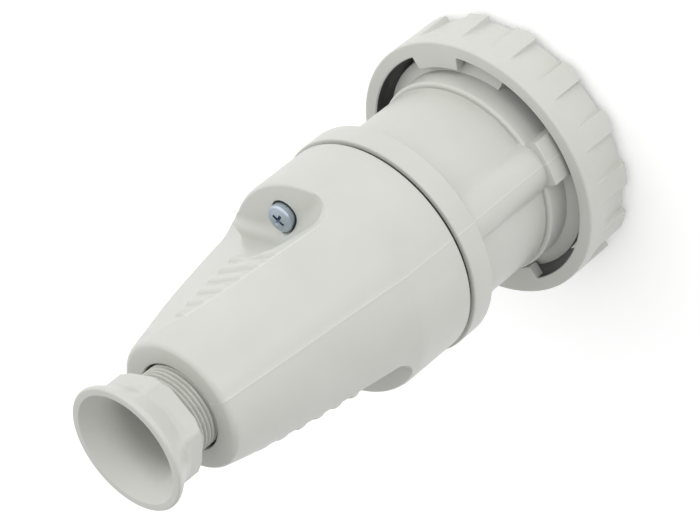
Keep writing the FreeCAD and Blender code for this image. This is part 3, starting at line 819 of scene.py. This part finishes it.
hood_rows = [(*skirt, shelf_azimuth + 0 * skirt[0]), (lip_r, lip_z, shelf_azimuth + 0 * lip_r),
             (upper_r, upper_z, upper_turn)]
hood_rows = [(radius + parting_ridge(turn, radius), height, turn) for radius, height, turn in hood_rows]
hollow_top = hood_end - hood_wall
pocket_floor = shelf - hood_wall
inner_fillet_rows = pocket_floor + (scoop_fillet + hood_wall) * quarter_steps(hollow_fillet_count)
inner = wall(hood_azimuth, pocket_floor, hollow_top, 1, 1, 0, 0, hollow_row_step, inner_fillet_rows)[1][::-1]
hollow_r = soft_min(hood_form(inner) - hood_wall, pocket(hood_azimuth, inner, hood_wall, False), pocket_edge)
tubes = 2 * hood_r + 0 * hood_azimuth
for side in (0, 180):
    tubes = np.minimum(tubes, circle_entry(hood_azimuth, side, screw_distance, screw_boss_r, 2 * hood_r))
hollow_r = np.where(inner < shelf, np.minimum(hollow_r, tubes), hollow_r)
skirt_inner_r = np.minimum(tubes, hood_r - hood_wall)
rim_inner_r = np.minimum(tubes, spigot_inner_r)
hood_rows += corner_rows(hood_azimuth, [
    (mouth_r + mouth_edge, hood_end), (mouth_r, hood_end - mouth_edge), (mouth_r, mouth_foot),
    (thread_bore_r, mouth_foot), (thread_bore_r, seal_seat), (seal_opening_r, seal_seat),
    (seal_opening_r, sleeve_foot), (sleeve_r, sleeve_foot), (sleeve_r, hollow_top),
])
hood_rows += [(hollow_r, inner)]
hood_rows += corner_rows(hood_azimuth, [
    (skirt_inner_r, pocket_floor), (skirt_inner_r, hood_base + hood_wall),
    (rim_inner_r, hood_base + hood_wall), (rim_inner_r, hood_base), (spigot_inner_r, hood_base),
    (spigot_inner_r, spigot_foot), (spigot_r, spigot_foot), (spigot_r, hood_base),
])
hood_mesh = shell_mesh("cable_hood_moulding", [(shell_points(hood_azimuth, hood_rows), True)])
drill_path = [(0, drill_foot), (screw_hole_r, drill_foot), (screw_hole_r, counterbore_floor),
              (counterbore_r, counterbore_floor), (counterbore_r, drill_top), (0, drill_top)]
drills = [post_shell((side * screw_distance, 0), drill_path) for side in (1, -1)]
hood_mesh = carve(hood_mesh, shell_mesh("screw_drills", drills))
hood_mesh.name = "cable_hood_moulding"
shade(hood_mesh)
# The parting line and the flats' edges on the cone are painted lighter, as painted highlights.
hood_plastic = moulded_plastic("moulded_grey_polyamide_hood", *grey_skin,
                               [(parting_highlight_mask, painted_highlight_grey), (flat_edge_highlight_mask, painted_highlight_grey)])
add_piece("cable_hood_moulding", hood_mesh, hood_plastic, "body", "hood")

# Housing screws: two zinc-plated steel pan-head screws with a cross recess. They pass through black rubber
# seals in the hood's shelves into the brass inserts.
screw_low, screw_high = np.array(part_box("housing_screws")) / MM
screw_top = screw_high[2]
screw_foot = screw_low[2]
screw_r = 2.5
screw_tip_chamfer = 0.4
screw_head_r = 4.7
screw_seat = 94.1
screw_head_round = 0.9
screw_crown = 0.35
cross_turn = 32.0
cross_reach = 2.75
cross_half_width = 0.62
cross_depth = 2.3
cross_taper = 0.45
cutter_top = screw_top + 1.0


def screw_path():
    """Corners of the screw from its tip up to the head's crown: the head is a cylinder with a rounded edge
    whose drop follows a circle, and a shallow crown that falls with the square of the radius."""
    turn = np.linspace(0, np.pi / 2, 9)
    flat_r = screw_head_r - screw_head_round
    edge_r = flat_r + screw_head_round * np.cos(turn)
    edge_z = screw_top - screw_crown - screw_head_round * (1 - np.sin(turn))
    crown_r = np.linspace(flat_r, 0, 8)[1:]
    crown_z = screw_top - screw_crown * (crown_r / flat_r) ** 2
    low = [(0, screw_foot), (screw_r - screw_tip_chamfer, screw_foot),
           (screw_r, screw_foot + screw_tip_chamfer), (screw_r, screw_seat), (screw_head_r, screw_seat)]
    return low + list(zip(edge_r, edge_z)) + list(zip(crown_r, crown_z))


def wedge_block(place, turn_angle):
    """Cutter for two arms of the cross recess: a block along a direction whose sides and ends draw in by the
    taper towards its floor, closed by a point in the middle of its two ends."""
    along = np.array([1, 1, -1, -1])
    aside = np.array([-1, 1, 1, -1])
    levels = np.array([screw_top - cross_depth, cutter_top])
    draw = np.array([1 - cross_taper, 1.0])
    x = cross_reach * np.outer(draw, along)
    y = cross_half_width * np.outer(draw, aside)
    turn = np.radians(turn_angle)
    ring = np.stack([place[0] + x * np.cos(turn) - y * np.sin(turn),
                     place[1] + x * np.sin(turn) + y * np.cos(turn), levels[:, None] + 0 * x], axis=-1)
    ends = ring.mean(axis=1, keepdims=True) + 0 * ring
    return np.concatenate([ends[:1], ring, ends[1:]]), False


screw_step = 5.0
screw_azimuth = columns(screw_step)
both = bmesh.new()
for side in (1, -1):
    place = (side * screw_distance, 0)
    grid = shell_points(screw_azimuth, corner_rows(screw_azimuth, screw_path()), place)
    blank = shell_mesh("screw_blank", [(grid, False)])
    for turn_angle in (cross_turn, cross_turn + 90):
        blank = carve(blank, shell_mesh("cross_tool", [wedge_block(place, turn_angle)]))
    both.from_mesh(blank)
screw_mesh = bpy.data.meshes.new("hood_screws_zinc")
both.to_mesh(screw_mesh)
both.free()
shade(screw_mesh)
add_piece("hood_screws_zinc", screw_mesh, zinc_steel, "body", "housing_screws")
dress("screw_seals", seal_rubber)

# Cable seal and slip washer inside the hood's sleeve: a chamfered black rubber sleeve that grips the cable,
# and a plain polyamide washer that lets the nut turn on it.
dress("cable_seal", seal_rubber)
dress("slip_washer", carrier_plastic)

# Gland nut: one grey polyamide moulding with a male thread, a chamfered hexagon and a bell mouth that guards
# the cable from sharp bends. It screws into the hood's sleeve and squeezes the seal.
nut_low, nut_high = np.array(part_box("gland_nut")) / MM
nut_bottom = nut_low[2]
bell_top = nut_high[2]
nut_shoulder = bell_top - 15.5
thread_r = 14.15
thread_pitch = 1.5
thread_depth = 1.1
thread_lead_in = 2.0
thread_run_out = 1.4
thread_first = nut_bottom + 0.4
neck_r = thread_r - 0.1
cable_r = 12.0
hexagon_azimuth = -41.0
hexagon_apothem = 15.85
hexagon_turned_r = 18.05
hexagon_chamfer = 1.3
hexagon_end = nut_shoulder + 10.0
hexagon_end_chamfer = 0.6
hexagon_reach = hexagon_end + 1.5
hexagon_crest = 0.1
hexagon_foot_blend = 0.4
hexagon_bell_blend = 0.45
bell_throat_r = 14.6
bell_throat = nut_shoulder + 3.6
bell_throat_curve = 4.5
bell_waist_r = 17.2
bell_waist = nut_shoulder + 7.6
bell_waist_curve = 9.0
bell_rim_r = 21.2
bell_lip_foot = bell_top - 1.5
bell_lip_curve = 2.0
bell_rim_round = 0.7
funnel_r = 18.7
funnel_edge_round = 0.35
funnel_foot = nut_shoulder + 8.4
funnel_curve = 14.0
arc_points = 15
nut_step = 2.0
rows_per_pitch = 10


def rounded_path(corners):
    """Points along an open outline of (radius, height, rounding) corners. At each rounded corner they follow
    the arc that touches both sides, with its centre on the bisector, the rounding over the sine away."""
    points = []
    for index, (radius, height, rounding) in enumerate(corners):
        here = np.array([radius, height])
        if rounding == 0:
            points.append(here[None, :])
            continue
        back = np.array(corners[index - 1][:2]) - here
        ahead = np.array(corners[index + 1][:2]) - here
        back = back / np.linalg.norm(back)
        ahead = ahead / np.linalg.norm(ahead)
        half = np.arccos(np.clip(back @ ahead, -1, 1)) / 2
        middle = (back + ahead) / np.linalg.norm(back + ahead)
        centre = here + middle * rounding / np.sin(half)
        first = here + back * rounding / np.tan(half) - centre
        last = here + ahead * rounding / np.tan(half) - centre
        share = np.linspace(0, 1, arc_points)[:, None]
        sweep = np.pi - 2 * half
        arc = (np.sin((1 - share) * sweep) * first + np.sin(share * sweep) * last) / np.sin(sweep)
        points.append(centre + arc)
    return np.concatenate(points)


def thread_wall(azimuth, height):
    """Radius of the thread: a squared wave that climbs one pitch in a turn, fading out at both ends."""
    wave = (0.5 - 0.5 * np.cos(2 * np.pi * (height / thread_pitch - azimuth / 360))) ** 2
    lead_in = soft_step(height - nut_bottom - thread_lead_in / 2, thread_lead_in)
    run_out = soft_step(nut_shoulder - thread_run_out / 2 - height, thread_run_out)
    return thread_r - thread_depth * wave * lead_in * run_out


def hexagon(azimuth, height):
    """Radius of the hexagon: its apothem over the cosine from the nearest flat, held under a turned corner
    that is chamfered below and at its top end."""
    from_flat = np.radians((azimuth - hexagon_azimuth) % 60 - 30)
    turned = hexagon_turned_r - np.maximum(hexagon_chamfer - (height - nut_shoulder), 0)
    turned = turned - np.maximum(height - hexagon_end + hexagon_end_chamfer, 0) ** 2
    flats = soft_min(hexagon_apothem / np.cos(from_flat), turned, hexagon_crest)
    return np.where(height <= hexagon_reach, flats, 0)


corner_columns = np.add.outer(hexagon_azimuth + 60 * np.arange(6), np.linspace(-3, 3, 13))
nut_azimuth = columns(nut_step, corner_columns)
thread_rows = np.arange(thread_first, nut_shoulder, thread_pitch / rows_per_pitch)[:, None] + 0 * nut_azimuth
bell = rounded_path([
    (bell_throat_r, nut_shoulder, 0), (bell_throat_r, bell_throat, bell_throat_curve),
    (bell_waist_r, bell_waist, bell_waist_curve), (bell_rim_r, bell_lip_foot, bell_lip_curve),
    (bell_rim_r, bell_top, bell_rim_round), (funnel_r, bell_top, funnel_edge_round),
    (cable_r, funnel_foot, funnel_curve), (cable_r, nut_bottom, 0),
])
outer_count = int(np.argmax(bell[:, 1])) + 1
outer = np.arange(len(bell))[:, None] < outer_count
bell_r = bell[:, :1] + 0 * nut_azimuth
bell_z = bell[:, 1:] + 0 * nut_azimuth
bell_r = np.where(outer, soft_max(bell_r, hexagon(nut_azimuth, bell_z), hexagon_bell_blend), bell_r)
foot_z = nut_shoulder + np.array([0.0, 0.3, 0.6, 0.9, 1.3, 2.0])[:, None] + 0 * nut_azimuth
foot_r = soft_max(bell_throat_r + 0 * foot_z, hexagon(nut_azimuth, foot_z), hexagon_foot_blend)
nut_rows = [level(nut_azimuth, thread_r - thread_depth, nut_bottom),
            (thread_wall(nut_azimuth, thread_rows), thread_rows), level(nut_azimuth, neck_r, nut_shoulder),
            (foot_r, foot_z), (bell_r[1:], bell_z[1:])]
nut_mesh = shell_mesh("gland_nut_moulding", [(shell_points(nut_azimuth, nut_rows), True)])
nut_plastic = moulded_plastic("moulded_grey_polyamide_nut", *grey_skin)
add_piece("gland_nut_moulding", nut_mesh, nut_plastic, "nut", "gland_nut")

# Studio: a plain floor of white paper under the plug. It glows faintly, so that it stays white in the
# picture, and colours are shown without a film curve.
floor_half = 3.0
floor_glow = 0.2
floor_mesh = bpy.data.meshes.new("floor")
floor_corners = [(x * floor_half, y * floor_half, 0) for x, y in ((-1, -1), (1, -1), (1, 1), (-1, 1))]
floor_mesh.from_pydata(floor_corners, [], [(0, 1, 2, 3)])
floor = bpy.data.objects.new("floor", floor_mesh)
bpy.context.scene.collection.objects.link(floor)
floor_paper = new_material("white_paper_sweep")[0]
surface(floor_paper, {"Base Color": linear("FAFAFA"), "Roughness": 0.9, "Emission Color": linear("FFFFFF"),
                      "Emission Strength": floor_glow}, {})
floor_mesh.materials.append(floor_paper)
bpy.context.scene.view_settings.view_transform = "Standard"

# Camera: fitted to the photograph. It looks down on the standing plug and is rolled so that the cable end
# points to the lower left of the picture.
camera_place = Vector((248.3, -737.8, 606.1)) * MM
camera_aim = Vector((1.65, 0.58, 81.06)) * MM
camera_roll = np.radians(-128.7)
focal_length_mm = 158.3
sensor_width_mm = 36.0
sight_limit = 20.0
camera = bpy.data.objects.new("camera", bpy.data.cameras.new("camera"))
camera.data.lens = focal_length_mm
camera.data.sensor_width = sensor_width_mm
camera.data.clip_end = sight_limit
look = (camera_aim - camera_place).to_track_quat("-Z", "Y").to_matrix().to_4x4()
camera.matrix_world = Matrix.Translation(camera_place) @ look @ Matrix.Rotation(camera_roll, 4, "Z")
bpy.context.scene.collection.objects.link(camera)
bpy.context.scene.camera = camera

# Light, by directions of the picture: a white surround that grows evenly brighter towards the upper left of
# the picture, and a soft box on the key side that lays a faint sheen along the plastic.
low_light = 0.28
high_light = 1.55
softbox_width = 0.3
softbox_height = 0.22
softbox_watts = 0.45
softbox_distance = 0.8
softbox_side = Vector((0.12, -0.98, 0.06)).normalized()
bright_side = (camera.matrix_world.to_3x3() @ Vector((-0.35, 0.7, 0.35))).normalized()
world = bpy.data.worlds.new("white_surround")
world.use_nodes = True
bpy.context.scene.world = world
background = world.node_tree.nodes["Background"]
background.inputs["Color"].default_value = (1.0, 1.0, 1.0, 1.0)
direction = add_node(world, "ShaderNodeTexCoord", {}, {}).outputs["Generated"]
facing = add_node(world, "ShaderNodeVectorMath", {"operation": "DOT_PRODUCT", 1: bright_side}, {0: direction})
light_range = {"From Min": -1.0, "To Min": low_light, "To Max": high_light}
strength = add_node(world, "ShaderNodeMapRange", light_range, {"Value": facing.outputs["Value"]})
world.node_tree.links.new(strength.outputs["Result"], background.inputs["Strength"])
softbox = bpy.data.objects.new("softbox", bpy.data.lights.new("softbox", "AREA"))
softbox.data.shape = "RECTANGLE"
softbox.data.size = softbox_width
softbox.data.size_y = softbox_height
softbox.data.energy = softbox_watts
softbox.location = camera_aim + softbox_side * softbox_distance
softbox.rotation_mode = "QUATERNION"
softbox.rotation_quaternion = (-softbox_side).to_track_quat("-Z", "Y")
bpy.context.scene.collection.objects.link(softbox)
